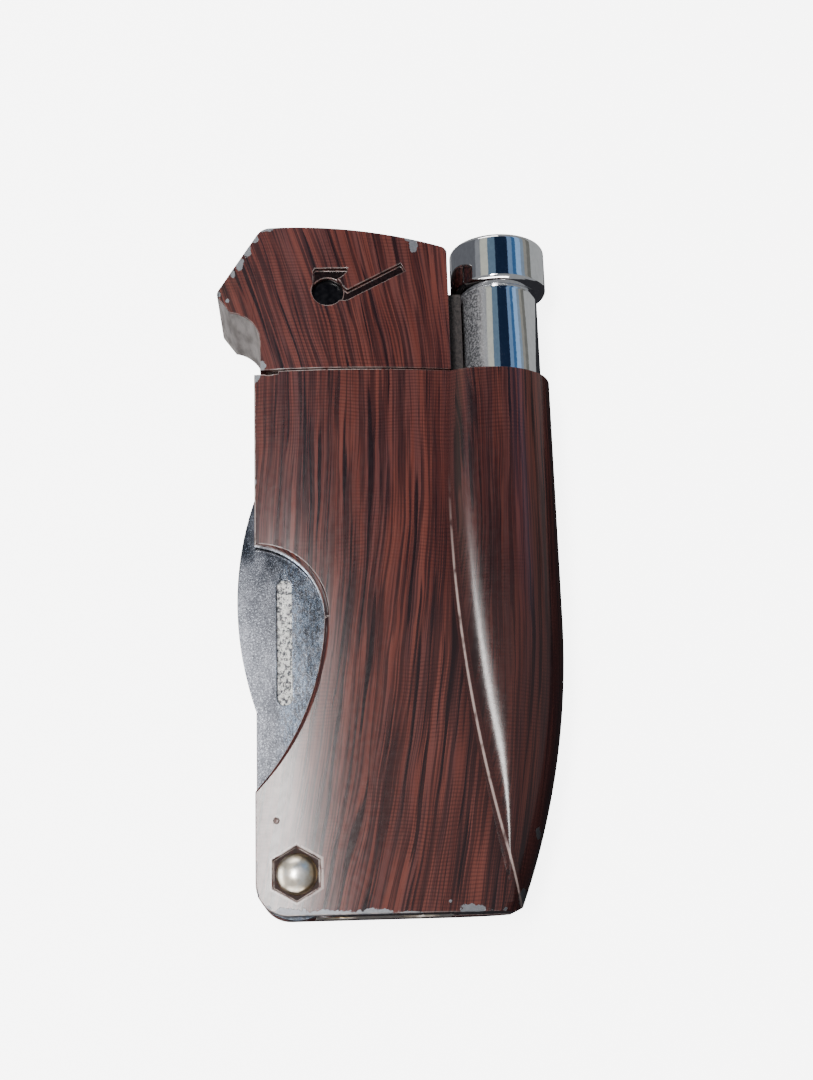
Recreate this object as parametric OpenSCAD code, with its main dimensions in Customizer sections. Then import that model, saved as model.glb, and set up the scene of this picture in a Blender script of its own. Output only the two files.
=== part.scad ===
// Pocket gas lighter with a hinged cap, a folding blade and a pull-out tamper.
// It lies on its back: X is across the front, Y runs from the bottom end to the flame end,
// Z points out of the front face. The origin is under the centre of the whole part.

/* [Body] */
// Overall length over the blade's round end and the cap, mm
total_length = 68.75; // [60:0.05:80]
// Thickness from back face to the front of the round column, mm
thickness = 12; // [10:0.1:16]
// Height of the joint line between body and cap, mm
part_line = 53.1; // [45:0.1:60]
// Width from the left side wall to the outside of the round column, mm
body_width = 30.1; // [25:0.1:36]
// Wall of the die-cast shells, mm
wall = 1.1; // [0.8:0.05:1.6]
// Rise of the crowned front panel above its edges, mm
crown = 0.6; // [0.2:0.05:1]
// Radius of the lower left corner, mm
corner_r = 3; // [1:0.1:5]

/* [Cap] */
// Gap between the cap's rim and the body, mm
cap_gap = 0.1; // [0.05:0.01:0.3]
// Radius of the round hole in the cap's front, mm
bowl_r = 1.6; // [1:0.05:2.2]
// Width of the engraved stem, mm
stem_w = 0.9; // [0.4:0.05:1.2]
// Radius of the cap's hinge pin, mm
hinge_pin_r = 0.4; // [0.3:0.05:0.6]

/* [Blade] */
// Thickness of the folding blade, mm
blade_t = 1.8; // [1.2:0.1:2.2]
// Radius of the blade's round end, mm
tang_r = 4.05; // [3:0.05:5]
// Radius of the rivet's shank, mm
rivet_r = 1.15; // [0.8:0.05:1.5]
// Radius of the rivet's domed head, mm
dome_r = 1.95; // [1.5:0.05:2.3]
// Distance across the flats of the six-sided recess, mm
hex_flats = 4.33; // [3.5:0.05:5.5]
// Width of the nail groove, mm
groove_w = 1.45; // [0.8:0.05:2]

/* [Tamper] */
// Outside radius of the tamper tube, mm
tube_r = 4; // [3:0.05:4.2]
// Radial gap between tamper and bore, mm
tube_gap = 0.06; // [0.02:0.01:0.1]
// Radius of the tamper's foot, mm
foot_r = 4.97; // [4.2:0.05:5.2]

/* [Spark] */
// Radius of the toothed spark wheel, mm
wheel_r = 3.2; // [2.5:0.05:3.6]
// Radius of the two thumb discs, mm
disc_r = 3.75; // [3:0.05:4]
// Outside radius of the flint tube, mm
flint_tube_r = 1.6; // [1.4:0.05:1.8]

/* [Hidden] */
$fn = 96;
left_x = -14.7;
right_x = left_x + body_width;
cap_left = -18.45;
bore_x = 10.6;
shift_x = -(cap_left + bore_x + foot_r) / 2;
shift_y = -total_length / 2;
base_y = 0.3;
mid_z = thickness / 2;
column_x = right_x - mid_z;
crown_x = -5;
crown_r = 77;
panel_top = thickness - 0.3;
ceiling = 10.05;
bore_r = tube_r + tube_gap;
bore_end = 22.2;
side_r = 73.1;
side_y = 28;
crease_r = 142;
flank_in = 3.16;
crease_x = 146.35;
crease_y = 40;
pivot = [-10.95, 4.05];
hinge = [-13.2, part_line + 0.8];
blade_z = 8;
blade_top = blade_z + blade_t;
hex_floor = 10.87;
spark_x = -7;
spark_y = 57.35;
spark_z = 5.6;
flame_x = -0.6;
fill_x = 0.4;
deck_y = 51.9;
cap_top_r = 75.54;
cap_top = [-13.18, total_length - cap_top_r];
post = [-10.36, 49.5];
low_screw = [7.6, 12];

module place() translate([shift_x, shift_y, 0]) children();

// turn a solid made along Z so that it runs along Y from height y0
module along_y(x, y0, z) translate([x, y0, z]) rotate([-90, 0, 0]) children();

module box(x0, x1, y0, y1, z0, z1) translate([x0, y0, z0]) cube([x1 - x0, y1 - y0, z1 - z0]);

module post_at(p, r, z0, z1) translate([p[0], p[1], z0]) cylinder(r = r, h = z1 - z0);

module body_outline() difference() {
  intersection() {
    translate([left_x, base_y]) square([body_width, part_line - base_y]);
    union() {
      translate([left_x, side_y]) square([body_width, part_line - side_y]);
      translate([right_x - side_r, side_y]) circle(side_r, $fn = 360);
    }
  }
  difference() {
    translate([left_x - 1, base_y - 1]) square(corner_r + 1);
    translate([left_x + corner_r, base_y + corner_r]) circle(corner_r);
  }
  polygon([[9.2, 0], [9.2, base_y], [10.1, base_y + 0.45], [10.7, base_y + 1.7], [13, 3], [13, 0]]);
}

// everything under the crowned panel
module panel_form() along_y(crown_x, -1, panel_top - crown_r) cylinder(r = crown_r, h = 75, $fn = 360);

// everything under the round column and its hollowed left flank
module column_form() translate([crease_x, crease_y, 0]) rotate_extrude($fn = 360) {
  translate([100, 0]) square([crease_r - flank_in - 100, thickness]);
  intersection() {
    translate([crease_r - flank_in, mid_z]) circle(mid_z);
    translate([crease_r - flank_in, 0]) square([12, thickness]);
  }
}

// half-round right side, following the side's curve below its straight part
module side_form() {
  box(left_x - 5, column_x, side_y, 75, 0, thickness);
  along_y(column_x, side_y, mid_z) cylinder(r = mid_z, h = 45);
  translate([right_x - side_r, side_y, 0]) rotate_extrude($fn = 360) {
    square([side_r - mid_z, thickness]);
    translate([side_r - mid_z, mid_z]) circle(mid_z);
  }
}

module body_solid() intersection() {
  linear_extrude(thickness) body_outline();
  union() {
    panel_form();
    column_form();
  }
  side_form();
}

// space the body gives the turning cap
module hinge_relief() {
  post_at(hinge, 1.22, -1, thickness + 1);
  box(left_x - 1, -12.3, part_line - 0.3, part_line + 1, -1, thickness + 1);
}

module tamper_bore() along_y(bore_x, bore_end, mid_z) cylinder(r = bore_r, h = 40);

module body_cavity() {
  box(left_x + wall, 5.1, base_y + wall, part_line + 1, wall, ceiling);
  box(-9.3, 3.6, -1, 3, 3.1, 7.7);
}

module blade_bay() {
  box(left_x - 1, -7.1, -1, 47.2, 7.75, ceiling);
  post_at(pivot, tang_r + 0.2, 7.75, ceiling);
}

module cutout() {
  intersection() {
    union() {
      translate([-15.48, 27.9, 9]) cylinder(r = 7.4, h = 4);
      translate([-15.48, 27.9, 10.9]) cylinder(r1 = 7.4, r2 = 8.2, h = 1.1);
    }
    box(-16, -6, side_y, 40, 9, 13);
  }
  intersection() {
    union() {
      translate([-33.72, 28.8, 9]) cylinder(r = 25.64, h = 4, $fn = 240);
      translate([-33.72, 28.8, 10.9]) cylinder(r1 = 25.64, r2 = 26.44, h = 1.1, $fn = 240);
    }
    box(-16, -6, 5, side_y, 9, 13);
  }
}

module front_shell() color([0.33, 0.13, 0.11]) place() difference() {
  union() {
    difference() {
      body_solid();
      body_cavity();
      blade_bay();
    }
    post_at(post, 1.7, mid_z, ceiling + 0.2);
  }
  translate([left_x - 1, -1, -1]) cube([body_width + 2, 60, mid_z + 1]);
  tamper_bore();
  cutout();
  hinge_relief();
  translate([pivot[0], pivot[1], hex_floor]) rotate(30) cylinder(r = hex_flats / sqrt(3), h = 3, $fn = 6);
  post_at(pivot, rivet_r + 0.03, 9, 12);
  post_at([-12.77, 8.87], 0.22, 11, 12);
  post_at(post, 0.8, 5, 9.6);
  post_at(low_screw, 0.8, 5, 9.6);
}

module back_shell() color([0.31, 0.12, 0.10]) place() difference() {
  union() {
    difference() {
      intersection() {
        linear_extrude(mid_z) body_outline();
        side_form();
      }
      body_cavity();
    }
    post_at(post, 1.7, 0.5, mid_z);
  }
  tamper_bore();
  hinge_relief();
  post_at(pivot, rivet_r + 0.03, -1, 4);
  post_at(pivot, 2.05, -1, 0.6);
  post_at(post, 0.8, -1, 7);
  post_at(low_screw, 0.8, -1, 7);
  post_at(post, 1.5, -1, 0.55);
  post_at(low_screw, 1.5, -1, 0.55);
}

module bottom_plate() color([0.6, 0.6, 0.6]) place() difference() {
  box(-9.25, 3.55, base_y, base_y + 0.9, 3.15, 7.65);
  along_y(spark_x, -1, spark_z) cylinder(r = flint_tube_r + 0.05, h = 4);
  along_y(fill_x, -1, spark_z) cylinder(r = 1.93, h = 4);
}

module gas_tank() color([0.85, 0.85, 0.82]) place() difference() {
  union() {
    box(-5.2, 4.9, 8.2, 48.2, 1.3, 9.9);
    box(-13.4, -8.8, 9.2, 46.8, 1.3, 7.05);
    box(-9, -5, 12, 44, 1.3, 3.85);
  }
  box(-4.5, 4.2, 8.9, 47.5, 2, 9.2);
  box(-12.7, -9.5, 9.9, 46.1, 2, 6.35);
  box(-10, -4, 12.7, 43.3, 2, 3.15);
  along_y(fill_x, 7, spark_z) cylinder(r = 1.55, h = 3);
  along_y(flame_x, 46, spark_z) cylinder(r = 1.25, h = 4);
}

module blade_liner() color([0.62, 0.63, 0.65]) place() difference() {
  box(-13.5, -6.9, 1.5, 47, 7.25, 7.7);
  post_at(pivot, rivet_r + 0.03, 7, 8);
}

module pivot_spacer() color([0.7, 0.6, 0.35]) place() difference() {
  post_at(pivot, 2.2, wall + 0.02, 7.23);
  post_at(pivot, rivet_r + 0.03, 0, 8);
}

// shank with a domed head that fills the six-sided recess
module pivot_rivet() color([0.72, 0.66, 0.5]) place() translate([pivot[0], pivot[1], 0]) rotate_extrude() {
  translate([0, 0.62]) square([rivet_r, hex_floor - 0.6]);
  intersection() {
    translate([0, 11.95 - 2.3]) circle(2.3);
    translate([0, hex_floor + 0.02]) square([dome_r, 2]);
  }
}

module rivet_back_head() color([0.7, 0.64, 0.5]) place() translate([pivot[0], pivot[1], 0])
  rotate_extrude() polygon([[0, 0.1], [1.7, 0.1], [1.98, 0.3], [1.98, 0.58], [0, 0.58]]);

module washer(z0, z1) difference() {
  post_at(pivot, 2.7, z0, z1);
  post_at(pivot, rivet_r + 0.03, z0 - 1, z1 + 1);
}

module washer_front() color([0.78, 0.62, 0.32]) place() washer(blade_top + 0.02, ceiling - 0.01);

module washer_back() color([0.78, 0.62, 0.32]) place() washer(7.72, blade_z - 0.02);

module blade_outline() intersection() {
  union() {
    intersection() {
      translate([15.77, 29.9]) circle(32.19, $fn = 360);
      union() {
        translate([-17, 16]) square([9.5, 19]);
        translate([-24.5, 35]) circle(17, $fn = 180);
      }
      translate([-17, 17]) square([11, 32]);
    }
    translate([-14.57, pivot[1]]) square([7.07, 14.9]);
    translate(pivot) circle(tang_r);
  }
  translate([-17, -1]) square([12, 60]);
  union() {
    translate([-14.57, -1]) square([10, 60]);
    translate([-18, 17.5]) square([10, 40]);
  }
}

module blade() color([0.78, 0.79, 0.8]) place() difference() {
  translate([0, 0, blade_z]) linear_extrude(blade_t) blade_outline();
  post_at(pivot, rivet_r + 0.05, 7, 11);
  // nail groove with round ends
  post_at([-11.93, 20.52], groove_w / 2, blade_top - 0.4, 11);
  post_at([-11.93, 31.33], groove_w / 2, blade_top - 0.4, 11);
  box(-11.93 - groove_w / 2, -11.93 + groove_w / 2, 20.52, 31.33, blade_top - 0.4, 11);
  // ground cutting edge, both faces
  translate([0, 60, blade_z]) rotate([90, 0, 0]) linear_extrude(48)
    polygon([[-10.4, -0.01], [-7.4, 0.78], [-5, 0.78], [-5, -0.01]]);
  translate([0, 60, blade_top]) rotate([90, 0, 0]) linear_extrude(48)
    polygon([[-7.95, 0.01], [-7.4, -0.78], [-5, -0.78], [-5, 0.01]]);
}

module flint_tube() color([0.75, 0.62, 0.3]) place() difference() {
  along_y(spark_x, base_y + 0.1, spark_z) cylinder(r = flint_tube_r, h = 53.4 - base_y);
  along_y(spark_x, -1, spark_z) cylinder(r = 1.22, h = 60);
}

module flint_screw() color([0.74, 0.74, 0.72]) place() difference() {
  along_y(spark_x, base_y + 0.15, spark_z) cylinder(r = 1.2, h = 5);
  box(spark_x - 2, spark_x + 2, 0, base_y + 0.65, spark_z - 0.2, spark_z + 0.2);
}

module flint_spring() color([0.6, 0.6, 0.62]) place() {
  along_y(spark_x, 5.5, spark_z) for (i = [0:23])
    translate([0, 0, 0.2 + i * 1.7]) difference() {
      cylinder(r = 1.12, h = 0.4, $fn = 32);
      translate([0, 0, -1]) cylinder(r = 0.75, h = 3, $fn = 32);
    }
  along_y(spark_x, 5.46, spark_z) cylinder(r = 0.35, h = 42.5);
}

module flint() color([0.25, 0.24, 0.23]) place()
  along_y(spark_x, 48.3, spark_z) cylinder(r = 1.15, h = spark_y - wheel_r - 0.08 - 48.3);

// deck under the cap, with the hinge knuckle and the wheel's two side plates
module chassis() color([0.66, 0.66, 0.66]) place() difference() {
  union() {
    box(-13.5, 5, deck_y, 52.95, wall + 0.05, ceiling - 0.05);
    post_at(hinge, 0.76, 3.2, 8.8);
    box(hinge[0] - 0.35, hinge[0] + 0.7, 52.5, hinge[1], 3.2, 8.8);
    for (z = [1.95, 8.35]) {
      box(-8.6, -5.4, 52.5, spark_y, z, z + 0.8);
      post_at([spark_x, spark_y], 1.6, z, z + 0.8);
    }
  }
  post_at(hinge, hinge_pin_r + 0.05, -1, 13);
  post_at([spark_x, spark_y], 0.62, -1, 13);
  post_at(hinge, 1.22, -1, 3.15);
  post_at(hinge, 1.22, 8.85, 13);
  box(-14, -12.3, part_line - 0.3, part_line + 1, -1, 3.15);
  box(-14, -12.3, part_line - 0.3, part_line + 1, 8.85, 13);
  along_y(spark_x, 50, spark_z) cylinder(r = flint_tube_r + 0.05, h = 10);
  along_y(flame_x, 50, spark_z) cylinder(r = 1.85, h = 10);
}

// rough wall that hugs the tamper beside the cap
module tamper_cradle() color([0.16, 0.15, 0.15]) place() difference() {
  box(5.06, 7.6, part_line + 0.02, 62.4, 1.2, 8.6);
  along_y(bore_x, 50, mid_z) cylinder(r = tube_r + 0.14, h = 20);
  box(6.4, 9, 50, 70, mid_z, 12);
}

module spark_wheel() color([0.35, 0.35, 0.36]) place() difference() {
  post_at([spark_x, spark_y], wheel_r, 4.2, 7);
  post_at([spark_x, spark_y], 0.62, 4, 8);
  for (i = [0:27])
    translate([spark_x, spark_y, 5.6]) rotate(i * 360 / 28) translate([wheel_r + 0.05, 0, 0])
      rotate(45) cube([0.34, 0.34, 4], center = true);
}

module thumb_disc(z0) difference() {
  post_at([spark_x, spark_y], disc_r, z0, z0 + 1.1);
  post_at([spark_x, spark_y], 0.62, z0 - 1, z0 + 3);
  for (i = [0:23])
    translate([spark_x, spark_y, z0 + 0.5]) rotate(i * 15) translate([disc_r + 0.1, 0, 0])
      cylinder(r = 0.28, h = 4, center = true, $fn = 24);
}

module thumb_disc_back() color([0.8, 0.8, 0.82]) place() thumb_disc(3.05);

module thumb_disc_front() color([0.8, 0.8, 0.82]) place() thumb_disc(7.05);

module wheel_axle() color([0.7, 0.7, 0.7]) place() translate([spark_x, spark_y, 0]) rotate_extrude() {
  translate([0, 1.9]) square([0.57, 7.3]);
  translate([0, 9.2]) square([0.95, 0.25]);
}

module chimney() color([0.82, 0.82, 0.84]) place() difference() {
  union() {
    box(-2.8, 1.7, 54.7, 60.9, 2.4, 8.8);
    box(-1.6, 0.5, 53, 54.8, 2.4, 3.1);
    box(-1.6, 0.5, 53, 54.8, 8.1, 8.8);
  }
  box(-2.3, 1.2, 54.9, 62, 2.9, 8.3);
  box(-2.9, 1.8, 56, 59.9, 3.9, 7.3);
  along_y(flame_x, 54, spark_z) cylinder(r = 1.2, h = 3);
}

module flame_adjuster() color([0.12, 0.12, 0.12]) place() difference() {
  along_y(flame_x, 53.05, spark_z) cylinder(r = 2.1, h = 1.4);
  along_y(flame_x, 52, spark_z) cylinder(r = 0.95, h = 4);
  for (i = [0:17]) along_y(flame_x, 52, spark_z) rotate(i * 20) translate([2.2, 0, 0])
    cylinder(r = 0.22, h = 4, $fn = 16);
}

module burner_valve() color([0.78, 0.62, 0.3]) place() difference() {
  union() {
    along_y(flame_x, 46.6, spark_z) cylinder(r = 1.2, h = 1.7);
    along_y(flame_x, 48.25, spark_z) cylinder(r = 1.7, h = 1.6);
  }
  along_y(flame_x, 46.9, spark_z) cylinder(r = 0.7, h = 6);
}

module burner_nozzle() color([0.8, 0.66, 0.34]) place() difference() {
  union() {
    along_y(flame_x, 47.2, spark_z) cylinder(r = 0.64, h = 10.4);
    along_y(flame_x, 51.15, spark_z) cylinder(r = 1.3, h = 0.6);
    along_y(flame_x, 55.4, spark_z) cylinder(r = 0.9, h = 2.2);
  }
  along_y(flame_x, 47, spark_z) cylinder(r = 0.25, h = 12, $fn = 24);
}

// rocker that lifts the nozzle when the cap opens
module valve_lever() color([0.7, 0.7, 0.72]) place() difference() {
  union() {
    box(-8.2, 0.9, 50.3, 51.0, 8, 8.7);
    box(-2.3, 0.9, 50.3, 51.0, 4.2, 8.7);
    post_at([-3.6, 50.65], 0.75, 8, 8.7);
  }
  along_y(flame_x, 49, spark_z) cylinder(r = 0.85, h = 4);
  post_at([-3.6, 50.65], 0.45, 7, 10);
}

module lever_pin() color([0.6, 0.6, 0.6]) place() post_at([-3.6, 50.65], 0.4, 7.2, ceiling - 0.02);

module fill_valve() color([0.8, 0.65, 0.33]) place() difference() {
  union() {
    along_y(fill_x, base_y + 0.2, spark_z) cylinder(r = 1.9, h = 7.2);
    along_y(fill_x, 7, spark_z) cylinder(r = 1.5, h = 2.8);
  }
  along_y(fill_x, -1, spark_z) cylinder(r = 1.15, h = 4.3);
  along_y(fill_x, 2, spark_z) cylinder(r = 0.75, h = 6.6);
}

module fill_stem() color([0.7, 0.7, 0.68]) place() {
  along_y(fill_x, 3.45, spark_z) cylinder(r = 0.68, h = 4.2);
}

module fill_seal() color([0.08, 0.08, 0.08]) place()
  along_y(fill_x, 7.95, spark_z) rotate_extrude() translate([1.78, 0]) circle(0.22, $fn = 24);

module cap_outline() difference() {
  union() {
    intersection() {
      translate(cap_top) circle(cap_top_r, $fn = 360);
      polygon([[4.95, part_line + cap_gap], [4.95, 70], [-13.06, 70], [-13.06, 67.14],
        [-14.388, 68.033], [-18.314, 62.196], [-18.294, 61.276], [-16.97, 59.48],
        [-14.1, 56.18], [-14.1, part_line + cap_gap]]);
    }
    translate([cap_left + 0.8, 61.75]) circle(0.8);
    translate([-13.06, 67.14]) circle(1.6);
  }
  translate([-17.5, 56.18]) circle(3.4);
  difference() {
    translate([4.25, 65.98]) square(2);
    translate([4.25, 65.98]) circle(0.7);
  }
}

module cap_shell() color([0.33, 0.13, 0.11]) place() difference() {
  intersection() {
    linear_extrude(thickness) cap_outline();
    panel_form();
  }
  // hollow, open towards the body
  intersection() {
    box(-12.9, 3.95, 50, 70, wall, 10.4);
    translate([cap_top[0], cap_top[1], 0]) cylinder(r = cap_top_r - 1.1, h = 12, $fn = 360);
  }
  // gap for the fixed knuckle
  box(-15, -12.1, 50, 55.15, 3.1, 8.9);
  post_at(hinge, hinge_pin_r, 0.6, 10.85);
  post_at([-7.28, 61.6], bowl_r, 9, 13);
  // engraved brim and stem
  translate([0, 0, 11.05]) linear_extrude(2)
    polygon([[-8.68, 61.8], [-8.68, 63.7], [-8.5, 64], [-5.2, 64], [-5.3, 63.65], [-5.75, 63.2],
      [-6.3, 62.85], [-7.3, 61.7]]);
  translate([-5.5, 60.95, 11.05]) rotate(28.5) translate([0, -stem_w / 2, 0]) cube([6.72, stem_w, 2]);
  translate([0, 0, 11.05]) linear_extrude(2)
    polygon([[-7, 61.9], [-5.9, 62.2], [-5.35, 61.65], [-4.9, 61.35], [-5.05, 60.8], [-5.5, 60.5],
      [-6.6, 60.6]]);
}

module cap_liner() color([0.03, 0.03, 0.03]) place() intersection() {
  box(-11.8, 3.85, 55.3, 70, 9.75, 10.35);
  translate([cap_top[0], cap_top[1], 0]) cylinder(r = cap_top_r - 1.2, h = 12, $fn = 360);
}

module hinge_pin() color([0.7, 0.7, 0.7]) place() post_at(hinge, hinge_pin_r, 0.65, 10.8);

module cap_spring() color([0.62, 0.62, 0.65]) place() {
  box(-12.4, -12.15, 47.9, 51.85, 3.6, 7.1);
  box(-13.55, -12.15, 47.6, 47.92, 3.6, 7.1);
}

module tamper_tube() color([0.86, 0.87, 0.88]) place() difference() {
  along_y(bore_x, 24, mid_z) cylinder(r = tube_r, h = 39);
  along_y(bore_x, 23, mid_z) cylinder(r = 3.35, h = 42);
}

module tamper_foot() color([0.86, 0.87, 0.88]) place() along_y(bore_x, 0, mid_z) rotate_extrude() {
  polygon([[0, 63.02], [tube_r, 63.02], [foot_r - 0.15, 63.45], [foot_r, 63.7], [foot_r, 67.6],
    [foot_r - 0.2, 68.05], [foot_r - 0.62, 68.3], [foot_r - 1.1, 68.3], [foot_r - 1.3, 68.05], [0, 68.05]]);
  translate([0, 58]) square([3.3, 5.1]);
}

module tamper_plug() color([0.8, 0.8, 0.8]) place() along_y(bore_x, 0, mid_z) rotate_extrude() difference() {
  union() {
    translate([0, 22.4]) square([3.9, 1.58]);
    translate([0, 23.9]) square([3.3, 4]);
  }
  translate([3.55, 23.2]) circle(0.46, $fn = 32);
}

module tamper_ring() color([0.06, 0.06, 0.06]) place() along_y(bore_x, 23.2, mid_z)
  rotate_extrude() translate([3.55, 0]) circle(0.45, $fn = 32);

module screw(p) difference() {
  translate([p[0], p[1], 0]) rotate_extrude()
    polygon([[0, 0.08], [1.2, 0.08], [1.42, 0.25], [1.42, 0.53], [0.77, 0.53], [0.77, 9.2], [0, 9.2]]);
  box(p[0] - 2, p[0] + 2, p[1] - 0.2, p[1] + 0.2, -1, 0.34);
  box(p[0] - 0.2, p[0] + 0.2, p[1] - 2, p[1] + 2, -1, 0.34);
}

module screw_upper() color([0.7, 0.7, 0.72]) place() screw(post);

module screw_lower() color([0.7, 0.7, 0.72]) place() screw(low_screw);

front_shell();
back_shell();
bottom_plate();
gas_tank();
blade_liner();
pivot_spacer();
pivot_rivet();
rivet_back_head();
washer_front();
washer_back();
blade();
flint_tube();
flint_screw();
flint_spring();
flint();
chassis();
tamper_cradle();
spark_wheel();
thumb_disc_back();
thumb_disc_front();
wheel_axle();
chimney();
flame_adjuster();
burner_valve();
burner_nozzle();
valve_lever();
lever_pin();
fill_valve();
fill_stem();
fill_seal();
cap_shell();
cap_liner();
hinge_pin();
cap_spring();
tamper_tube();
tamper_foot();
tamper_plug();
tamper_ring();
screw_upper();
screw_lower();
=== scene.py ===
import bpy, bmesh, math
from mathutils import Vector, Matrix


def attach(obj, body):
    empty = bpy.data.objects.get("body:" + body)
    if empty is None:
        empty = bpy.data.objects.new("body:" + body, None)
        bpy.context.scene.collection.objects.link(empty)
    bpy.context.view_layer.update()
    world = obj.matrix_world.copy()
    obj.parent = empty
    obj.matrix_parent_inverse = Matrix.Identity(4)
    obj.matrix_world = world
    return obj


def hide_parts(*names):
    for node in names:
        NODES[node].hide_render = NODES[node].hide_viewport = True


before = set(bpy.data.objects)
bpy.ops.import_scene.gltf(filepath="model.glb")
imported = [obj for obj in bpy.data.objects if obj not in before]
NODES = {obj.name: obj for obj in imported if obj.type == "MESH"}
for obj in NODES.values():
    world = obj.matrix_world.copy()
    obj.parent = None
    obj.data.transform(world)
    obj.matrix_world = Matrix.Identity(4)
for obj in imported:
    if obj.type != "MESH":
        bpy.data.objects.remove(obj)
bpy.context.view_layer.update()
MM = 0.001

# Drawing frame: mm, y up from the blade's round end. These carry it to the row frame.
SHIFT_X, SHIFT_Y = 1.44, 34.375
# in the drawing frame
TUBE_X, TUBE_Z = 10.6, 6
CROWN_X, CROWN_Z, CROWN_R = -5, -65.3, 77
CREASE_X, CREASE_Y = 146.35, 40
COLUMN_R, COLUMN_Z = 6, 6
FLANK_RING = 138.84
SIDE_X, SIDE_TURN_Y = 9.4, 28
SIDE_ARC_X, SIDE_RING = -57.7, 67.1
FACE_Z = 10
ON_FACE = 0.02
RIDGE_WIDTH = 1.3
# in the row frame
CREASE_AT, CREASE_ARC = (147.79, 5.625, 0), 142.05
HEX_AT = (-9.51, -30.325)
RIVET_AT = (-9.9, -30.3, 0)


def row(x, y, z):
    """A point of the drawing frame, in the row frame."""
    return Vector(((x + SHIFT_X) * MM, (y - SHIFT_Y) * MM, z * MM))


def drawn(c):
    """The x and y in the drawing frame of a point in row millimetres."""
    return c.x - SHIFT_X, c.y + SHIFT_Y


# ---------------------------------------------------------------- node graphs
class Graph:
    """A material's node tree, with x, y, z and p the point in row millimetres."""
    def __init__(self, name):
        self.mat = bpy.data.materials.new(name)
        self.mat.use_nodes = True
        self.t = self.mat.node_tree
        self.t.nodes.clear()
        self.b = self.t.nodes.new("ShaderNodeBsdfPrincipled")
        out = self.t.nodes.new("ShaderNodeOutputMaterial")
        self.t.links.new(self.b.outputs[0], out.inputs[0])
        tc = self.t.nodes.new("ShaderNodeTexCoord")
        self.p = self.vec("MULTIPLY", tc.outputs["Object"], (1000, 1000, 1000))
        s = self.t.nodes.new("ShaderNodeSeparateXYZ")
        self.t.links.new(self.p, s.inputs[0])
        self.x, self.y, self.z = s.outputs

    def put(self, sock, v):
        if isinstance(v, bpy.types.NodeSocket):
            self.t.links.new(v, sock)
        else:
            sock.default_value = v

    def math(self, op, a, b=0.0, c=0.0):
        n = self.t.nodes.new("ShaderNodeMath")
        n.operation = op
        for i, v in enumerate((a, b, c)):
            self.put(n.inputs[i], v)
        return n.outputs[0]

    def add(self, a, b):
        return self.math("ADD", a, b)

    def sub(self, a, b):
        return self.math("SUBTRACT", a, b)

    def mul(self, a, b):
        return self.math("MULTIPLY", a, b)

    def mul_add(self, a, b, c):
        return self.math("MULTIPLY_ADD", a, b, c)

    def vec(self, op, a, b=(0, 0, 0)):
        n = self.t.nodes.new("ShaderNodeVectorMath")
        n.operation = op
        self.put(n.inputs[0], a)
        self.put(n.inputs[1], b)
        return n.outputs["Value" if op in ("LENGTH", "DISTANCE") else "Vector"]

    def stretch(self, scale):
        return self.vec("MULTIPLY", self.p, scale)

    def from_axis(self, centre):
        """Distance from an upright axis."""
        return self.vec("DISTANCE", self.xyz(self.x, self.y), centre)

    def xyz(self, x, y, z=0.0):
        n = self.t.nodes.new("ShaderNodeCombineXYZ")
        for i, v in enumerate((x, y, z)):
            self.put(n.inputs[i], v)
        return n.outputs[0]

    def noise(self, v, scale=1.0, detail=2.0, rough=0.5):
        n = self.t.nodes.new("ShaderNodeTexNoise")
        self.put(n.inputs["Vector"], v)
        n.inputs["Scale"].default_value = scale
        n.inputs["Detail"].default_value = detail
        n.inputs["Roughness"].default_value = rough
        return n.outputs["Fac"]

    def span(self, v, lo, hi, a=0.0, b=1.0, smooth=True):
        """a where v is lo, b where it is hi."""
        n = self.t.nodes.new("ShaderNodeMapRange")
        n.interpolation_type = "SMOOTHSTEP" if smooth else "LINEAR"
        self.put(n.inputs[0], v)
        for i, q in enumerate((lo, hi, a, b)):
            n.inputs[i + 1].default_value = q
        return n.outputs[0]

    def mix(self, f, a, b):
        n = self.t.nodes.new("ShaderNodeMix")
        n.data_type = "RGBA"
        self.put(n.inputs[0], f)
        for i, v in ((6, a), (7, b)):
            self.put(n.inputs[i], (*v, 1.0) if isinstance(v, tuple) else v)
        return n.outputs[2]

    def bump(self, h, strength, dist):
        n = self.t.nodes.new("ShaderNodeBump")
        n.inputs["Strength"].default_value = strength
        n.inputs["Distance"].default_value = dist
        self.put(n.inputs["Height"], h)
        return n.outputs[0]

    def done(self, color, rough, metal=0.0, normal=None, spec=None):
        self.put(self.b.inputs["Base Color"], color)
        self.put(self.b.inputs["Roughness"], rough)
        self.put(self.b.inputs["Metallic"], metal)
        if normal is not None:
            self.put(self.b.inputs["Normal"], normal)
        if spec is not None:
            self.b.inputs["Specular IOR Level"].default_value = spec
        return self.mat


# ---------------------------------------------------------------- wood print
def chip_mask(g, chips):
    """1 where the print is knocked off round the rim. Spots: row x, y, half width, half height, in mm."""
    edge = g.noise(g.p, 1.6, 4, 0.65)
    near = None
    for x, y, rx, ry in chips:
        z, rz = (11.3, 1.1) if x < 10 else (8.6, 2.2)  # lower on the column's side
        d = g.vec("LENGTH", g.vec("MULTIPLY", g.vec("SUBTRACT", g.p, (x, y, z)), (1 / rx, 1 / ry, 1 / rz)))
        near = d if near is None else g.math("MINIMUM", near, d)
    return g.span(g.add(near, g.mul_add(edge, 1.5, -0.75)), 0.98, 0.9)


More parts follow.
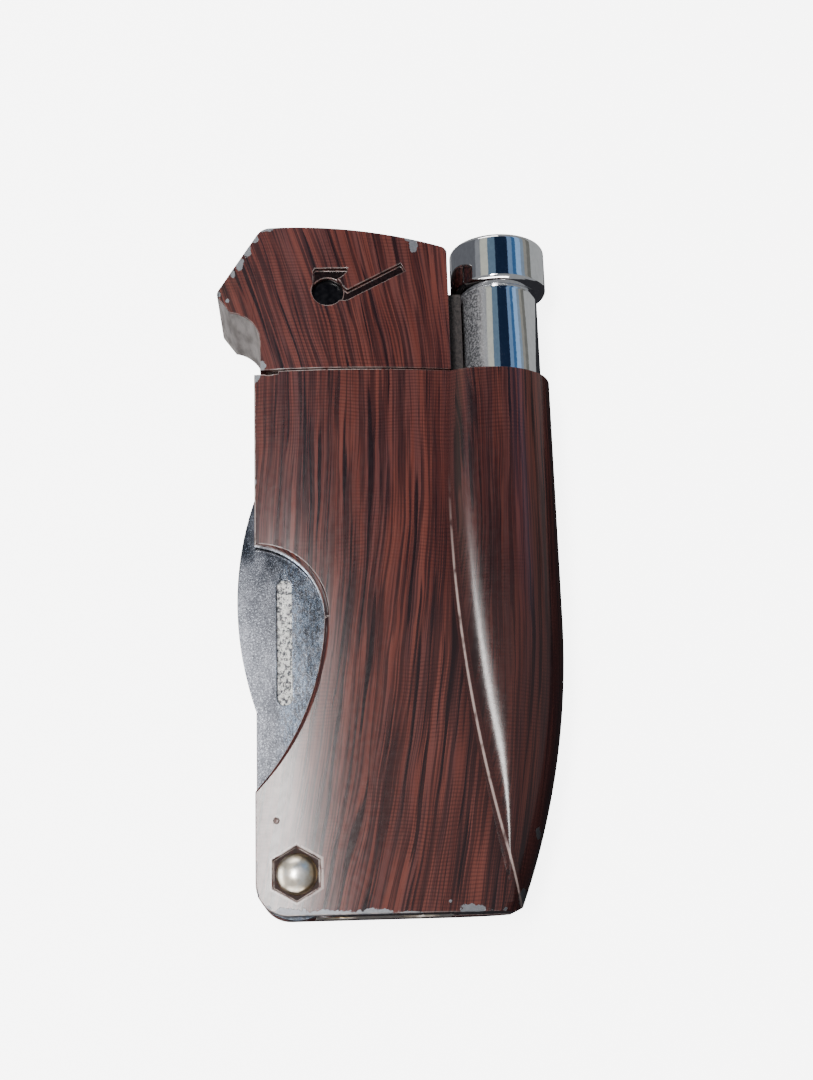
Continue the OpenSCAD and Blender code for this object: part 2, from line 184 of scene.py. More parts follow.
def hex_rim_highlight(g):
    """1 on the narrow rim round the six-sided recess, where a highlight is painted."""
    px, py = g.sub(g.x, HEX_AT[0]), g.sub(g.y, HEX_AT[1])
    d = g.mul(g.sub(10.4, g.z), 9.0)
    for k in (0, 60, 120):
        c, q = math.cos(math.radians(k)), math.sin(math.radians(k))
        side = g.math("ABSOLUTE", g.add(g.mul(px, c), g.mul(py, q)))
        d = g.math("MAXIMUM", d, side)
    return g.mul(g.span(d, 2.10, 2.14), g.span(d, 2.50, 2.36))


def wood(name, across, chips, dark=0.0, body=False, edge=0.0):
    """The wood print: across gives the place across the grain, edge how strong the painted highlight on
    the rounded edges is.
    """
    g = Graph(name)
    # over the sides the print runs on as if wrapped
    wrap = g.mul(g.sub(11.4, g.z), g.span(g.x, -2, 6, -1, 1))
    u, v = g.add(across(g), wrap), g.y
    wob = g.noise(g.xyz(g.mul(u, 0.22), g.mul(v, 0.06)), 1, 2)
    u = g.add(u, g.mul_add(wob, 1.3, -0.65))

    def grain(su, sv, off, detail=3.0, rough=0.55):
        return g.noise(g.xyz(g.mul_add(u, su, off), g.mul(v, sv), off), 1, detail, rough)

    tone = g.span(grain(0.45, 0.030, 3.1, 3), 0.36, 0.64)
    cool = g.span(grain(0.9, 0.04, 30.7, 2), 0.46, 0.64)
    band = g.span(grain(1.1, 0.030, 8.7, 2), 0.50 - dark, 0.64 - dark)
    fibre = g.span(grain(6.5, 0.07, 5.5, 1.5, 0.5), 0.35, 0.68)
    dash = g.span(grain(3.1, 0.055, 12.4, 2.0, 0.5), 0.50 - dark, 0.60 - dark)
    dash2 = g.span(grain(6.0, 0.09, 20.3, 1.5, 0.5), 0.50 - dark, 0.62 - dark)
    ink = g.span(grain(1.9, 0.050, 41.1, 1.5, 0.45), 0.585 - dark, 0.65 - dark)
    c = g.mix(tone, (0.072, 0.0200, 0.0165), (0.112, 0.0325, 0.0255))
    for mask, share, ink_colour in ((cool, 0.55, (0.058, 0.0265, 0.0280)),
                                    (band, 0.50, (0.028, 0.0095, 0.0098)),
                                    (fibre, 0.30, (0.150, 0.050, 0.038)),
                                    (dash, 0.70, (0.0115, 0.0062, 0.0078)),
                                    (dash2, 0.55, (0.0130, 0.0072, 0.0088)),
                                    (ink, 0.85, (0.0058, 0.0042, 0.0060))):
        c = g.mix(g.mul(mask, share), c, ink_colour)
    # fine ripple left across the film
    rip = g.math("SINE", g.mul(g.add(g.y, g.mul(g.noise(g.p, 0.12, 1), 1.6)), 17.5))
    patch = g.span(g.noise(g.p, 0.09, 2), 0.42, 0.60)
    c = g.mix(g.mul(g.mul(g.span(rip, -0.6, 1.0), patch), 0.36), c, (0.016, 0.006, 0.006))
    chip = chip_mask(g, chips)
    metal_c = g.mix(g.noise(g.p, 5, 3, 0.6), (0.10, 0.108, 0.12), (0.25, 0.262, 0.285))
    c = g.mix(chip, c, metal_c)
    peel = g.noise(g.p, 1.7, 3, 0.55)
    fine = g.noise(g.stretch((2.0, 9.0, 2.0)), 1, 1.5, 0.5)
    h = g.add(g.mul(peel, 0.5), g.mul(fine, 0.10))
    h = g.sub(h, g.mul(chip, 1.2))
    if body:
        # painted highlight on the recess's rim, painted shade on the column and a painted highlight along
        # its crease
        # painted highlight: pale colour on the bevelled rim of the six-sided recess
        ring = g.mul(hex_rim_highlight(g), g.span(g.noise(g.p, 2.3, 3, 0.6), 0.30, 0.48))
        c = g.mix(g.mul(ring, 0.75), c, (0.30, 0.24, 0.22))
        # painted shade: the column, and the panel just left of its crease, darker and more so towards the
        # bottom, on the front only
        r = g.from_axis(CREASE_AT)
        column_painted_shade = g.mul(g.span(r, 145.0, 141.6), g.span(g.y, 24.0, -8.0, 0.15, 0.62))
        column_painted_shade = g.mul(column_painted_shade, g.span(g.z, 3.0, 8.0))
        c = g.mix(column_painted_shade, c, (0.010, 0.0035, 0.0038))
        # painted highlight: a bright line along the crease, towards the bottom, on the front only
        off_line = g.math("ABSOLUTE", g.sub(r, CREASE_ARC))
        line = g.mul(g.span(off_line, 0.16, 0.04), g.span(g.y, 9.0, -6.0))
        line = g.mul(line, g.span(g.z, 6.0, 8.0))
        line = g.mul(line, g.span(g.noise(g.xyz(g.x, g.mul(g.y, 0.5)), 1.2, 2), 0.28, 0.5))
        c = g.mix(g.mul(line, 0.85), c, (0.36, 0.28, 0.26))
    # painted highlight on the rounded edges, paler on the left where the key light falls
    if edge:
        pale = g.mul(g.span(g.x, 7, -7), g.span(g.noise(g.p, 1.1, 3, 0.6), 0.30, 0.55))
        c = g.mix(g.mul(pale, edge), c, (0.42, 0.36, 0.34))
    n = g.bump(h, 0.4, 0.00002)
    rough = g.add(g.span(peel, 0.3, 0.7, 0.16, 0.21), g.mul(chip, 0.26))
    return g.done(c, rough, g.mul(chip, 0.6), n, spec=0.5)


def panel_u(g):
    """Across the grain on the body: it leans more to the lower left further down, less on the column."""
    r = g.from_axis(CREASE_AT)
    column = g.span(r, 142.5, 141.5)
    drop = g.sub(18.8, g.y)
    bend = g.mul(g.mul(drop, drop), 0.0022)
    lean = g.mul(g.mul(drop, drop), 0.0009)
    a = g.add(g.x, bend)
    b = g.add(g.add(g.x, lean), 41.0)
    return g.add(g.mul(a, g.sub(1.0, column)), g.mul(b, column))


def head_u(g):
    """Across the grain on the cap, which leans more to the left."""
    lean = g.span(g.x, -16, 6, 0.36, 0.07, smooth=False)
    return g.add(g.add(g.x, g.mul(g.sub(g.y, 19.0), lean)), 17.0)


BODY_CHIPS = [(-13.1, 18.1, 0.45, 0.6), (-13.2, 7.2, 0.2, 0.3), (-10.6, -34.0, 2.6, 0.62),
              (-6.6, -34.1, 2.8, 0.55), (-2.6, -34.1, 2.4, 0.58), (0.8, -34.2, 1.3, 0.36),
              (6.6, -34.0, 1.5, 0.62), (11.4, -32.9, 0.55, 0.85), (13.0, -27.0, 0.3, 0.6),
              (-13.35, -29.6, 0.3, 0.7), (-13.3, -32.2, 0.34, 0.8), (-12.4, -33.5, 0.7, 0.45),
              (9.6, -33.9, 0.5, 0.3), (4.4, -33.1, 0.16, 0.14)]
HEAD_CHIPS = [(-12.2, 34.3, 1.3, 0.36), (-13.2, 33.2, 0.5, 0.5), (-13.95, 32.0, 0.45, 0.8),
              (-14.75, 30.6, 0.45, 0.75), (-15.4, 29.5, 0.3, 0.6), (-16.9, 27.3, 0.34, 0.5),
              (-12.5, 19.3, 0.45, 0.55), (3.0, 32.3, 0.45, 0.75), (2.7, 32.9, 0.6, 0.25),
              (-15.9, 26.6, 0.24, 0.26)]
WOOD_BODY = wood("wood_print_body", panel_u, BODY_CHIPS, body=True)
WOOD_HEAD = wood("wood_print_head", head_u, HEAD_CHIPS, dark=-0.01)
# the rounded edges' wood, with a painted highlight
EDGE_HIGHLIGHT_BODY = wood("wood_edge_highlight_body", panel_u, BODY_CHIPS, edge=0.7)
EDGE_HIGHLIGHT_HEAD = wood("wood_edge_highlight_head", head_u, HEAD_CHIPS, edge=0.28)


# ---------------------------------------------------------------- metals and the rest
EVEN = (1, 1, 1)


def metal(name, lo, hi, rough, grain=EVEN, scale=3.0, bump=0.05, dist=0.00002, metallic=1.0, spec=None):
    g = Graph(name)
    v = g.stretch(grain)
    a = g.noise(v, scale, 4.0, 0.6)
    f = g.noise(v, scale * 5, 2, 0.5)
    c = g.mix(g.span(a, 0.3, 0.7), lo, hi)
    r = g.span(g.add(g.mul(a, 0.6), g.mul(f, 0.4)), 0.3, 0.7, rough[0], rough[1])
    return g.done(c, r, metallic, g.bump(g.add(a, g.mul(f, 0.5)), bump, dist), spec)


CHROME = metal("chrome_plate", (0.78, 0.79, 0.81), (0.88, 0.885, 0.90), (0.03, 0.08),
               (2.2, 1.2, 2.2), 1.2, 0.10, 0.000012)
STEEL = metal("plain_steel", (0.40, 0.41, 0.43), (0.58, 0.58, 0.60), (0.28, 0.42), (1, 0.2, 1))
WHEEL = metal("hard_wheel_steel", (0.14, 0.14, 0.15), (0.26, 0.26, 0.27), (0.35, 0.5), EVEN, 4.0)
BRASS = metal("turned_brass", (0.56, 0.38, 0.14), (0.74, 0.54, 0.24), (0.22, 0.36), (1, 3, 1), 2.0)
ZINC = metal("bare_zinc", (0.36, 0.34, 0.32), (0.50, 0.475, 0.45), (0.36, 0.5),
             EVEN, 1.2, 0.12, 0.00003, 0.7)
UNDER = metal("bare_underside", (0.42, 0.385, 0.37), (0.80, 0.75, 0.73), (0.34, 0.46),
              (1, 1, 0.3), 1.0, 0.1, 0.00003, 0.3)
# very dark: paints the shade of the narrow gap beside the tube onto the cradle wall
CRADLE_PAINTED_SHADE = metal("rough_cast_painted_shade", (0.009, 0.0075, 0.0072), (0.045, 0.038, 0.036), (0.5, 0.75),
               EVEN, 3.5, 0.8, 0.00012, 0.2)
RECESS = metal("rough_dark_recess", (0.002, 0.0015, 0.002), (0.014, 0.007, 0.008), (0.45, 0.65),
               EVEN, 5.0, 0.8, 0.0001, 0.3, spec=0.08)
FLINT = metal("flint_stone", (0.10, 0.095, 0.09), (0.2, 0.19, 0.18), (0.6, 0.8),
              EVEN, 6.0, 0.4, 0.00005, 0.3)


def plastic(name, lo, hi, rough, spec=0.5, trans=0.0):
    g = Graph(name)
    a = g.noise(g.p, 2.0, 3, 0.55)
    c = g.mix(g.span(a, 0.3, 0.7), lo, hi)
    m = g.done(c, g.span(a, 0.3, 0.7, rough[0], rough[1]), 0.0, g.bump(a, 0.06, 0.00002), spec)
    g.b.inputs["Transmission Weight"].default_value = trans
    return m


BLACK = plastic("black_plastic", (0.002, 0.002, 0.0025), (0.005, 0.005, 0.006), (0.12, 0.2), spec=0.3)
RUBBER = plastic("seal_rubber", (0.012, 0.012, 0.012), (0.03, 0.03, 0.03), (0.55, 0.7))
TANK = plastic("tank_plastic", (0.62, 0.62, 0.58), (0.74, 0.74, 0.70), (0.12, 0.22), trans=0.35)


def blade_steel():
    """Polished steel with a painted blue reflection on the right, and fine scratches and specks."""
    g = Graph("blade_steel")
    long = g.noise(g.stretch((1.1, 0.5, 1)), 1.0, 4, 0.65)
    cloud = g.noise(g.stretch((0.5, 0.22, 1)), 1.0, 5, 0.7)
    spark = g.noise(g.p, 6.0, 3, 0.75)
    hair = g.noise(g.stretch((3.0, 1.1, 1)), 1.6, 3, 0.65)
    # painted reflection: a streaky blue tint over the right of the blade
    right = g.span(g.add(g.x, g.mul(cloud, 3.0)), -10.2, -8.2)
    c = g.mix(g.span(cloud, 0.36, 0.64), (0.105, 0.112, 0.130), (0.190, 0.200, 0.228))
    c = g.mix(g.mul(g.mul(right, g.span(hair, 0.40, 0.6)), 0.7), c, (0.24, 0.31, 0.41))
    c = g.mix(g.mul(g.span(spark, 0.52, 0.66), 0.7), c, (0.46, 0.50, 0.56))
    c = g.mix(g.mul(g.span(spark, 0.47, 0.34), 0.6), c, (0.028, 0.030, 0.038))
    r = g.span(long, 0.3, 0.7, 0.10, 0.20)
    h = g.add(g.mul(spark, 0.7), g.mul(long, 0.9))
    return g.done(c, r, 1.0, g.bump(h, 0.14, 0.00003))


def groove_floor():
    """The speckled floor of the blade's groove."""
    g = Graph("groove_floor")
    a = g.noise(g.stretch((1.6, 1.3, 1)), 2.6, 3, 0.65)
    c = g.mix(g.span(a, 0.40, 0.54), (0.10, 0.105, 0.115), (0.92, 0.92, 0.89))
    return g.done(c, g.span(a, 0.3, 0.7, 0.42, 0.26), 0.55, g.bump(a, 1.0, 0.00022))


def rivet_metal():
    """Pale dome, browner toward its rim."""
    g = Graph("rivet_metal")
    d = g.from_axis(RIVET_AT)
    a = g.noise(g.p, 1.3, 4, 0.6)
    rim = g.span(g.add(d, g.mul_add(a, 1.0, -0.5)), 0.9, 2.0)
    c = g.mix(rim, (0.97, 0.96, 0.90), (0.40, 0.33, 0.23))
    c = g.mix(g.mul(g.span(g.noise(g.p, 0.7, 2), 0.45, 0.6), 0.4), c, (0.80, 0.62, 0.36))
    return g.done(c, g.span(a, 0.3, 0.7, 0.28, 0.40), 0.95, g.bump(a, 0.15, 0.00006))


def chrome_with_painted_reflection():
    """The tube's plating: bright, with a painted reflection of the cap's dark side wall, rougher and
    speckled, along the side that sits in the body.
    """
    g = Graph("chrome_with_painted_reflection")
    a = g.noise(g.stretch((2.2, 1.2, 2.2)), 1.2, 4, 0.6)
    s = g.noise(g.p, 5.0, 3, 0.7)
    # painted reflection: the tube's left side, facing the cap, darker and speckled
    painted_side_reflection = g.span(g.add(g.x, g.mul_add(a, 1.2, -0.6)), 10.6, 9.3)
    c = g.mix(g.span(a, 0.3, 0.7), (0.80, 0.81, 0.83), (0.90, 0.905, 0.92))
    painted_wall_reflection = g.mix(g.span(s, 0.42, 0.66), (0.05, 0.052, 0.06), (0.40, 0.41, 0.43))
    c = g.mix(painted_side_reflection, c, painted_wall_reflection)
    rough = g.add(g.span(a, 0.3, 0.7, 0.03, 0.07), g.mul(painted_side_reflection, 0.36))
    h = g.add(a, g.mul(g.mul(s, painted_side_reflection), 0.8))
    return g.done(c, rough, g.sub(1.0, g.mul(painted_side_reflection, 0.55)), g.bump(h, 0.15, 0.00002))


TUBE_LOOK = chrome_with_painted_reflection()
HEX_DARK = metal("dark_recess_wall", (0.010, 0.005, 0.0042), (0.028, 0.013, 0.010), (0.35, 0.5),
                 EVEN, 2.0, 0.2, 0.00003, 0.1, spec=0.12)
BLADE, GROOVE, RIVET = blade_steel(), groove_floor(), rivet_metal()

LOOK = {
    WOOD_BODY: ("front_shell", "back_shell"), WOOD_HEAD: ("cap_shell",),
    BLADE: ("blade",), RIVET: ("pivot_rivet", "rivet_back_head"), TUBE_LOOK: ("tamper_tube",),
    CHROME: ("tamper_foot", "chimney", "thumb_disc_back", "thumb_disc_front"),
    ZINC: ("bottom_plate", "chassis", "tamper_plug"), CRADLE_PAINTED_SHADE: ("tamper_cradle",), WHEEL: ("spark_wheel",),
    STEEL: ("blade_liner", "flint_screw", "flint_spring", "wheel_axle", "valve_lever", "lever_pin",
            "fill_stem", "hinge_pin", "cap_spring", "screw_upper", "screw_lower"),
    BRASS: ("pivot_spacer", "washer_front", "washer_back", "flint_tube", "burner_valve", "burner_nozzle",
            "fill_valve"),
    FLINT: ("flint",), TANK: ("gas_tank",), BLACK: ("flame_adjuster", "cap_liner"),
    RUBBER: ("fill_seal", "tamper_ring"),
}
for look, names in LOOK.items():
    for name in names:
        NODES[name].data.materials.clear()
        NODES[name].data.materials.append(look)


# ---------------------------------------------------------------- eased-edge pieces in place of CAD nodes
FLAT_ANGLE, SHARP_ANGLE = math.radians(0.08), math.radians(25)
TINY_EDGE = 0.02 * MM
RIM_FRONT_Z, RIM_BACK_Z = 10.3, 0.7


def smooth_step(w):
    w = min(1, max(0, w))
    return w * w * (3 - 2 * w)


def surface_normal(p):
    """The true normals where a point, in row mm, lies on the case's curved faces.

    The faces are the crown, and the column's flank and outer side. Between those two the ridge is
    rounded over.
    """
    (x, y), z = drawn(p), p.z
    out = []
    n = Vector((x - CROWN_X, 0, z - CROWN_Z))
    if abs(n.length - CROWN_R) < ON_FACE:
        out.append(n.normalized())
    rx, ry = x - CREASE_X, y - CREASE_Y
    rad = math.hypot(rx, ry)
    q = Vector((rad - FLANK_RING, z - COLUMN_Z))
    if y > SIDE_TURN_Y:
        s, up = Vector((x - SIDE_X, z - COLUMN_Z)), Vector((1, 0))
    else:
        tx, ty = x - SIDE_ARC_X, y - SIDE_TURN_Y
        tr = math.hypot(tx, ty)
        s, up = Vector((tr - SIDE_RING, z - COLUMN_Z)), Vector((tx / tr, ty / tr))
    on_flank = q.x > -0.05 and abs(q.length - COLUMN_R) < ON_FACE
    on_side = s.x > -0.05 and abs(s.length - COLUMN_R) < ON_FACE
    if on_flank or on_side:
        qx, sx = max(q.x, 0), max(s.x, 0)
        flank_h = math.sqrt(max(COLUMN_R ** 2 - qx ** 2, 0.5))
        side_h = math.sqrt(max(COLUMN_R ** 2 - sx ** 2, 0.5))
        flank_n = Vector((rx / rad * qx, ry / rad * qx, flank_h)).normalized()
        side_z = max(s.y, 0) if on_side and z < FACE_Z else side_h
        side_n = Vector((up.x * sx, up.y * sx, side_z)).normalized()
        w = smooth_step(0.5 + (side_h - flank_h) / RIDGE_WIDTH)
        if z < FACE_Z:
            w = 1.0 if on_flank and not on_side else 0.0
        out.append((flank_n * w + side_n * (1 - w)).normalized())
    return out


def from_object(o, name):
    """The object's mesh with its modifiers worked in."""
    dg = bpy.context.evaluated_depsgraph_get()
    me = bpy.data.meshes.new_from_object(o.evaluated_get(dg), preserve_all_data_layers=True, depsgraph=dg)
    me.name = name
    o.modifiers.clear()
    o.data = me
    return me


def joined(node, mats, pick, rim):
    """A copy of a CAD node with its flat triangles joined, and its edges to be eased weighted."""
    bm = bmesh.new()
    bm.from_mesh(NODES[node].data)
    bmesh.ops.remove_doubles(bm, verts=bm.verts, dist=2e-7)
    bmesh.ops.dissolve_limit(bm, angle_limit=FLAT_ANGLE, verts=bm.verts, edges=bm.edges)
    bmesh.ops.remove_doubles(bm, verts=bm.verts, dist=TINY_EDGE)
    weight = bm.edges.layers.float.new("bevel_weight_edge")
    for e in bm.edges:
        if len(e.link_faces) == 2 and e.calc_face_angle() > SHARP_ANGLE:
            low, high = sorted(abs(f.normal.z) for f in e.link_faces)
            z = (e.verts[0].co.z + e.verts[1].co.z) / 2 / MM
            on_rim = low < 0.5 < high and (z > RIM_FRONT_Z or z < RIM_BACK_Z)
            e[weight] = 1.0 if on_rim or not rim else 0.0
    me = bpy.data.meshes.new(node + "_base")
    bm.to_mesh(me)
    bm.free()
    for m in mats:
        me.materials.append(m)
    for p in me.polygons:
        p.use_smooth = True
        p.material_index = pick(p) if pick else 0
    return me


def cut_column(me):
    """Cuts the column's front faces across, so that its shading follows its curve."""
    bm = bmesh.new()
    bm.from_mesh(me)
    for i in range(22):
        part = [f for f in bm.faces if f.normal.z > 0.3 and f.calc_center_median().z > 10.2 * MM]
        geo = part + list({e for f in part for e in f.edges}) + list({v for f in part for v in f.verts})
        at = row(4.6 + 0.4 * i, 0, 0)
        bmesh.ops.bisect_plane(bm, geom=geo, dist=1e-7, plane_co=at, plane_no=(1, 0, 0))
    bm.to_mesh(me)
    bm.free()


def true_normals(me):
    """Sets the case's own curved normals on the corners that lie on its curved faces."""
    normals = [Vector(c.vector) for c in me.corner_normals]
    on = [surface_normal(v.co / MM) for v in me.vertices]
    for p in me.polygons:
        for li in p.loop_indices:
            best = max(on[me.loops[li].vertex_index], key=lambda n: n.dot(p.normal), default=None)
            if best is not None and best.dot(p.normal) > 0.80:
                normals[li] = best
    me.normals_split_custom_set([n[:] for n in normals])


def eased(node, body, width, mats, pick=None, curved=False, edge=-1, rim=True):
    """A copy of a CAD node with its rim, or all its edges, rounded by width mm.

    pick chooses a face's material, edge is the rounding's own material, and curved is for the case.
    """
    o = bpy.data.objects.new(node + "_eased", joined(node, mats, pick, rim))
    bpy.context.scene.collection.objects.link(o)
    b = o.modifiers.new("ease", "BEVEL")
    b.width, b.segments, b.limit_method = width * MM, 2, "WEIGHT"
    b.use_clamp_overlap = False
    b.miter_outer = "MITER_ARC"
    b.material = edge
    me = from_object(o, node + "_bevelled")
    if curved:
        cut_column(me)
    w = o.modifiers.new("even", "WEIGHTED_NORMAL")
    w.weight = 60
    me = from_object(o, node + "_eased")
    if curved:
        true_normals(me)
    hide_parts(node)
    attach(o, body)


def cap_faces(p):
    c, n = p.center / MM, p.normal
    x, y = drawn(c)
    if x < -13.95 and y < 61.6 and n.y < 0.35 and abs(n.z) < 0.5:
        return 1  # the bare scoop at the left
    if 10.9 < c.z < 11.3 and n.z > 0.9 and -9 < x < 1.5 and 60 < y < 65:
        return 2  # the floor of the pipe-shaped cut
    if 0.6 < c.z < 10.6 and abs(n.z) > 0.5 and -13 < x < 4.1:
        return 3  # inside, front and back
    if 1.0 < c.z < 10.3 and abs(n.z) < 0.5 and -12.95 < x < 4.0 and 53.5 < y < 67.3:
        return 3  # inside, walls
    return 0


def shell_faces(p):
    c, n = p.center / MM, p.normal
    x, y = drawn(c)
    if 6.5 < c.z < 10.2 and n.z < -0.5:
        return 1  # inside of the front
    near_hex = abs(x + 10.95) < 2.6 and abs(y - 4.05) < 2.6
    if c.z > 10 and near_hex and (abs(n.z) < 0.5 or c.z < 11.2):
        return 2  # the recess's walls and floor
    bore = Vector((x - TUBE_X, 0, c.z - TUBE_Z))
    inside = -13.8 < x < 5.4 or (bore.length < 4.3 and n.dot(bore) < 0)
    if inside and 1 < y < 52.9 and abs(n.z) < 0.5 and c.z < 10.05:
        return 1  # inside walls and the tube's bore
    if c.z < 6.5 and n.z > 0.5:
        return 1  # inside of the back
    return 0


def blade_faces(p):
    c = p.center / MM
    x, y = drawn(c)
    return 1 if (p.normal.z > 0.9 and c.z < 9.6 and -12.8 < x < -11 and 19 < y < 33) else 0


SHELL_LOOKS = [WOOD_BODY, ZINC, HEX_DARK, EDGE_HIGHLIGHT_BODY]
CAP_LOOKS = [WOOD_HEAD, UNDER, RECESS, ZINC, EDGE_HIGHLIGHT_HEAD]
eased("front_shell", "frame", 0.12, SHELL_LOOKS, shell_faces, True, 3)
eased("back_shell", "frame", 0.12, SHELL_LOOKS, shell_faces, True, 3)
eased("cap_shell", "cap", 0.10, CAP_LOOKS, cap_faces, True, 4)
eased("blade", "blade", 0.07, [BLADE, GROOVE], blade_faces, rim=False)


LATHE_STEPS = 144


def lathe(name, node, body, profile, mat):
    """A turned piece on the tamper's axis. The profile is radius and drawing y, in mm."""
    bm = bmesh.new()
    rings = []
    for r, y in profile:
        turns = (2 * math.pi * i / LATHE_STEPS for i in range(LATHE_STEPS))
        spokes = (Vector((r * math.sin(a), 0, r * math.cos(a))) * MM for a in turns)
        rings.append([bm.verts.new(row(TUBE_X, y, TUBE_Z) + v) for v in spokes])
    for a, b in zip(rings, rings[1:]):
        for i in range(LATHE_STEPS):
            j = (i + 1) % LATHE_STEPS
            bm.faces.new((a[i], a[j], b[j], b[i]))
    bm.faces.new(rings[0])
    bm.faces.new(rings[-1])
    bmesh.ops.recalc_face_normals(bm, faces=bm.faces)
    me = bpy.data.meshes.new(name)
    bm.to_mesh(me)
    bm.free()
    me.materials.append(mat)
    o = bpy.data.objects.new(name, me)
    bpy.context.scene.collection.objects.link(o)
    me.polygons.foreach_set("use_smooth", [len(p.vertices) == 4 for p in me.polygons])
    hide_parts(node)
    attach(o, body)


def arc(cx, cy, r, a0, a1):
    """Eight points round a centre, between two angles in degrees."""
    turns = [math.radians(a0 + (a1 - a0) * i / 7) for i in range(8)]
    return [(cx + r * math.cos(a), cy + r * math.sin(a)) for a in turns]


FOOT = [(3.3, 58.02), (3.3, 63.0), (3.32, 63.03), (4.05, 63.03), (4.12, 63.04), (4.70, 63.30),
        *arc(4.57, 63.70, 0.39, -62, 0), (4.962, 63.9), (4.966, 65.5), (4.966, 67.2),
        *arc(4.37, 67.7, 0.597, 0, 80), *arc(4.0, 67.98, 0.30, 88, 180), (3.6, 67.93), (0.3, 67.93)]
TUBE = [(3.36, 28.0), (3.36, 24.05), (3.5, 24.01), (3.9, 24.01), (3.99, 24.1), (3.998, 24.4),
        (3.998, 40), (3.998, 55), (3.998, 62.9), (3.97, 62.98), (3.4, 63.0), (3.36, 62.9), (3.36, 57.9)]
lathe("tamper_foot_turned", "tamper_foot", "tamper", FOOT, CHROME)
lathe("tamper_tube_turned", "tamper_tube", "tamper", TUBE, TUBE_LOOK)
eased("pivot_rivet", "frame", 0.05, [RIVET], rim=False)


# ---------------------------------------------------------------- floor, light, camera
def flat(name, corners, mat):
    me = bpy.data.meshes.new(name)
    me.from_pydata(corners, [], [tuple(range(len(corners)))])
    me.materials.append(mat)
    o = bpy.data.objects.new(name, me)
    bpy.context.scene.collection.objects.link(o)
    return o


def plain(name, colour, rough, emit, paint=1.0):
    """A plain surface that glows with its own colour. Paint 0 leaves only the glow."""
    g = Graph(name)
    a = g.noise(g.p, 0.02, 2, 0.5)
    low, high = tuple(q * 0.98 * paint for q in colour), tuple(q * paint for q in colour)
    g.b.inputs["Emission Color"].default_value = (*colour, 1)
    g.b.inputs["Emission Strength"].default_value = emit
    return g.done(g.mix(a, low, high), rough, spec=0.0)


FLOOR = 0.6
floor = flat("floor", [(-FLOOR, -FLOOR, 0), (FLOOR, -FLOOR, 0), (FLOOR, FLOOR, 0), (-FLOOR, FLOOR, 0)],
             plain("pale_floor", (0.92, 0.92, 0.92), 0.6, 6.0))
# its glow whitens only what the camera sees of it, not the object
floor.visible_glossy = floor.visible_diffuse = False

world = bpy.data.worlds.new("studio")
bpy.context.scene.world = world
world.use_nodes = True
world.node_tree.nodes["Background"].inputs[0].default_value = (0.95, 0.97, 1.0, 1)
world.node_tree.nodes["Background"].inputs[1].default_value = 0.32


def area(name, at, to, size, watts, colour):
    l = bpy.data.lights.new(name, "AREA")
    l.shape, l.size, l.size_y, l.energy, l.color = "ELLIPSE", size[0], size[1], watts, colour
    o = bpy.data.objects.new(name, l)
    o.location = at
    o.rotation_mode = "QUATERNION"
    o.rotation_quaternion = (Vector(to) - Vector(at)).to_track_quat("-Z", "Y")
    bpy.context.scene.collection.objects.link(o)
    return o


def gloss_only(o):
    o.visible_camera = o.visible_diffuse = o.visible_shadow = o.visible_transmission = False


CARD_X, CARD_Z, CARD_R = 0.012, 0.006, 0.24
CARD_NEAR, CARD_FAR = 0.055, 0.30


def card(name, a0, a1, colour):
    """A long card over the tamper, between two angles from straight up towards +X, seen only in gloss."""
    n = max(1, round(abs(a1 - a0) / 12))
    for i in range(n):
        b0, b1 = a0 + (a1 - a0) * i / n, a0 + (a1 - a0) * (i + 1) / n
        (xa, za), (xb, zb) = ((CARD_X + CARD_R * math.sin(a), CARD_Z + CARD_R * math.cos(a))
                              for a in (math.radians(b0), math.radians(b1)))
        pts = [(xa, CARD_NEAR, za), (xb, CARD_NEAR, zb), (xb, CARD_FAR, zb), (xa, CARD_FAR, za)]
        gloss_only(flat(name + "_%d" % i, pts, plain(name + "_%d" % i, colour, 1.0, 1.0, 0.0)))


card("card_dim_left", -150, -58, (0.13, 0.135, 0.15))
card("card_grey_left", -58, -45, (0.26, 0.27, 0.29))
card("card_cream", -45, -27, (0.60, 0.60, 0.52))
card("card_slate", -27, -9, (0.13, 0.20, 0.28))
card("card_navy", -9, 21, (0.010, 0.020, 0.048))
card("card_blue_a", 21, 32, (0.16, 0.27, 0.46))
card("card_blue_b", 32, 41, (0.045, 0.13, 0.29))
card("card_sky", 41, 54, (0.30, 0.50, 0.82))
card("card_mist", 54, 63, (0.22, 0.29, 0.38))
card("card_beige", 63, 72, (0.29, 0.28, 0.25))
card("card_stone", 72, 83, (0.17, 0.17, 0.155))
card("card_pale", 83, 143, (0.42, 0.43, 0.43))
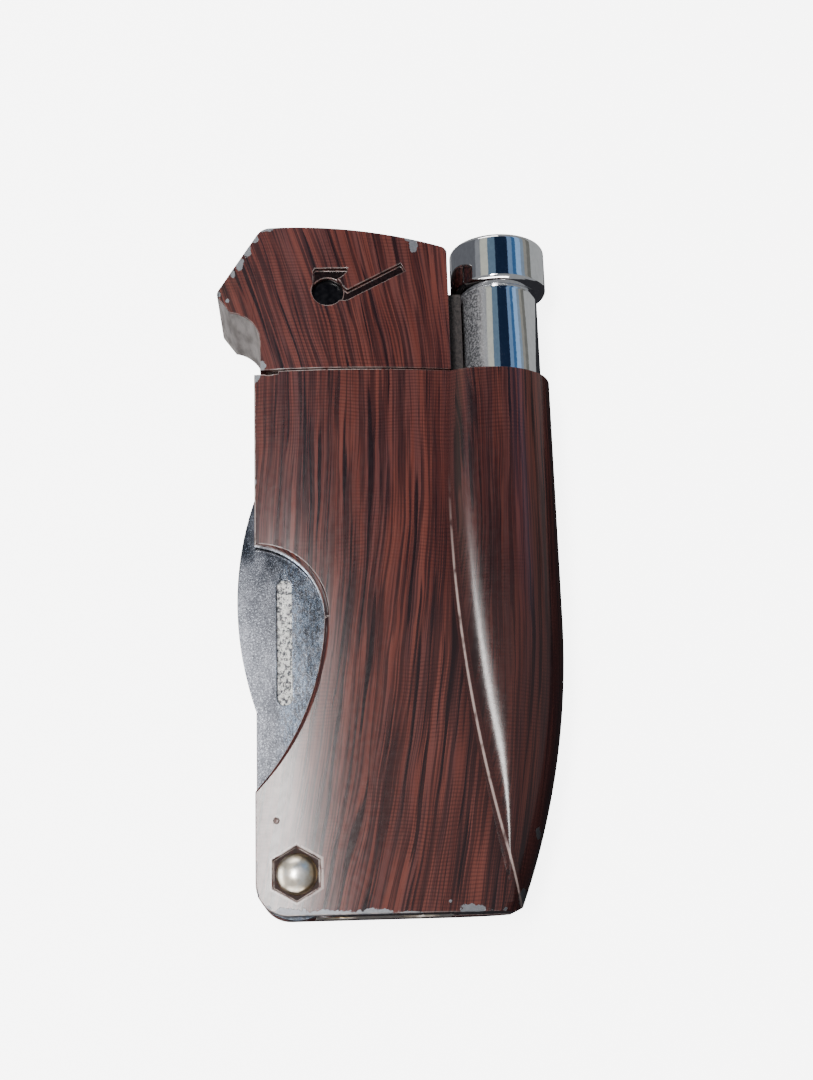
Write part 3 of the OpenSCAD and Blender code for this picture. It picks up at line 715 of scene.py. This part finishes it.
# low strips that only the rounded edges pick up, and dark under the bottom end
STRIP = plain("strip", (1.0, 0.98, 0.96), 1.0, 9.0, 0.0)
for name, (xa, ya), (xb, yb), z0, z1 in (("strip_near", (-0.20, -0.30), (0.10, -0.30), 0.045, 0.10),
                                         ("strip_left", (-0.30, -0.22), (-0.30, 0.10), 0.03, 0.09),
                                         ("strip_far", (-0.18, 0.30), (0.02, 0.30), 0.11, 0.17)):
    gloss_only(flat(name, [(xa, ya, z0), (xb, yb, z0), (xb, yb, z1), (xa, ya, z1)], STRIP))
UNDER_CORNERS = [(-0.4, -0.4, -0.02), (0.4, -0.4, -0.02), (0.4, 0.045, -0.02), (-0.4, 0.045, -0.02)]
gloss_only(flat("dark_under", UNDER_CORNERS,
                plain("dark_card", (0.03, 0.03, 0.035), 1.0, 1.0, 0.0)))
AIM = Vector((-0.006, -0.022, 0.012))
KEY_AT = AIM + Vector((-0.27, 0.028, 1.0)).normalized() * 0.42
SOFT_AT = AIM + Vector((-0.21, 0.05, 1.0)).normalized() * 0.44
area("key", KEY_AT, AIM, (0.20, 0.075), 1.35, (1.0, 0.965, 0.945))
area("key_soft", SOFT_AT, AIM, (0.34, 0.120), 0.50, (1.0, 0.97, 0.95))
area("fill", KEY_AT, AIM, (0.25, 0.15), 1.35, (1.0, 0.975, 0.96)).visible_glossy = False

cam = bpy.data.cameras.new("camera")
cam.sensor_width = 36
cam.lens = 1600 / 1080 * 36
cam.clip_start, cam.clip_end = 0.005, 10
FORWARD = Vector((0.0520, 0.2756, -0.9598)).normalized()
ROLL = 0.0302
right = Vector((0.9985, 0.0, 0.0541)).normalized()
up = right.cross(FORWARD).normalized()
right, up = right * math.cos(ROLL) - up * math.sin(ROLL), right * math.sin(ROLL) + up * math.cos(ROLL)
view = Matrix((right, up, -FORWARD)).transposed().to_4x4()
view.translation = row(-8.09, -7.15, 159.57)
camera = bpy.data.objects.new("camera", cam)
camera.matrix_world = view
bpy.context.scene.collection.objects.link(camera)
bpy.context.scene.camera = camera
